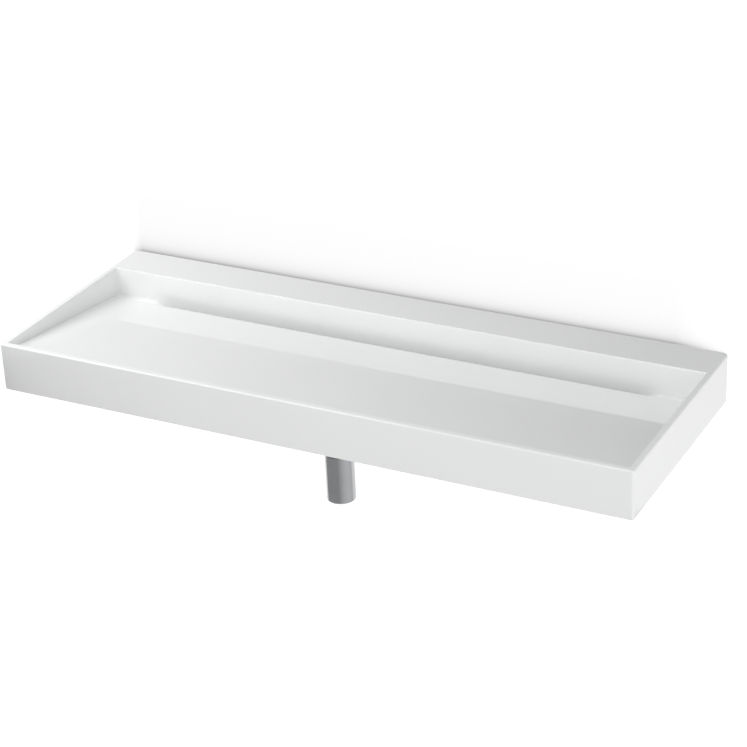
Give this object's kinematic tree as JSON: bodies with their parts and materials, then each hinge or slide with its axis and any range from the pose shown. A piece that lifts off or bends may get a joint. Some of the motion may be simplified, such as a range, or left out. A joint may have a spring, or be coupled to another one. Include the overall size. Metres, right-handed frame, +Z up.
{
  "type": "wall-hung washbasin",
  "caption": "Wide shallow rectangular ceramic washbasin with thin rims, a flat rear ledge, a sloping floor, a hidden slot drain and a chromed bottle trap.",
  "frame": {"origin": "centre of the row of wall bolts, on the wall's face, 50 mm above the basin's underside", "axes": "+X along the basin, +Y towards the wall, +Z up"},
  "size_m": [1.2, 0.52, 0.254],
  "materials": {
    "glazed_white": "glossy white glaze with a faint waviness",
    "chrome_plate": "polished chrome plate on brass",
    "bare_brass": "turned, unplated",
    "zinced_steel": "zinc plated",
    "white_plastic": "moulded, matt",
    "black_rubber": "smooth, matt",
    "grey_rubber": "soft, matt"
  },
  "bodies": {
    "basin": {"basin_body": "glazed_white", "hanger_bolts": "zinced_steel", "bolt_bushes": "white_plastic", "bolt_washers": "zinced_steel", "bolt_nuts": "zinced_steel", "waste_grid": "chrome_plate", "waste_screw": "chrome_plate", "waste_upper_seal": "black_rubber", "waste_tail": "chrome_plate", "waste_lower_seal": "black_rubber", "waste_slip_washer": "white_plastic", "waste_back_nut": "bare_brass", "trap_union_nut": "chrome_plate", "trap_inlet_seal": "black_rubber", "trap_head": "chrome_plate", "trap_dip_tube": "chrome_plate", "outlet_nut": "chrome_plate", "outlet_seal": "black_rubber", "outlet_pipe": "chrome_plate"},
    "plate": {"floor_plate": "glazed_white", "plate_pads": "grey_rubber"},
    "gasket": {"trap_gasket": "black_rubber"},
    "cup": {"trap_cup": "chrome_plate"},
    "rosette": {"wall_rosette": "chrome_plate", "rosette_ring": "black_rubber"}
  },
  "joints": [
    {"name": "plate_lift", "type": "slide", "parent": "basin", "child": "plate", "axis": [0, 0, 1], "range_m": [0, 0.12]},
    {"name": "cup_drop", "type": "slide", "parent": "basin", "child": "gasket", "axis": [0, 0, -1], "range_m": [0, 0.012]},
    {"name": "cup_turn", "type": "hinge", "parent": "gasket", "child": "cup", "pos_m": [0, -0.31, -0.1225], "axis": [0, 0, -1], "range_deg": [0, 1440]},
    {"name": "rosette_slide", "type": "slide", "parent": "basin", "child": "rosette", "axis": [0, -1, 0], "range_m": [0, 0.06]}
  ],
  "couplings": [
    {"joint": "cup_drop", "follows": "cup_turn", "m_per_rad": 0.00047746}
  ]
}
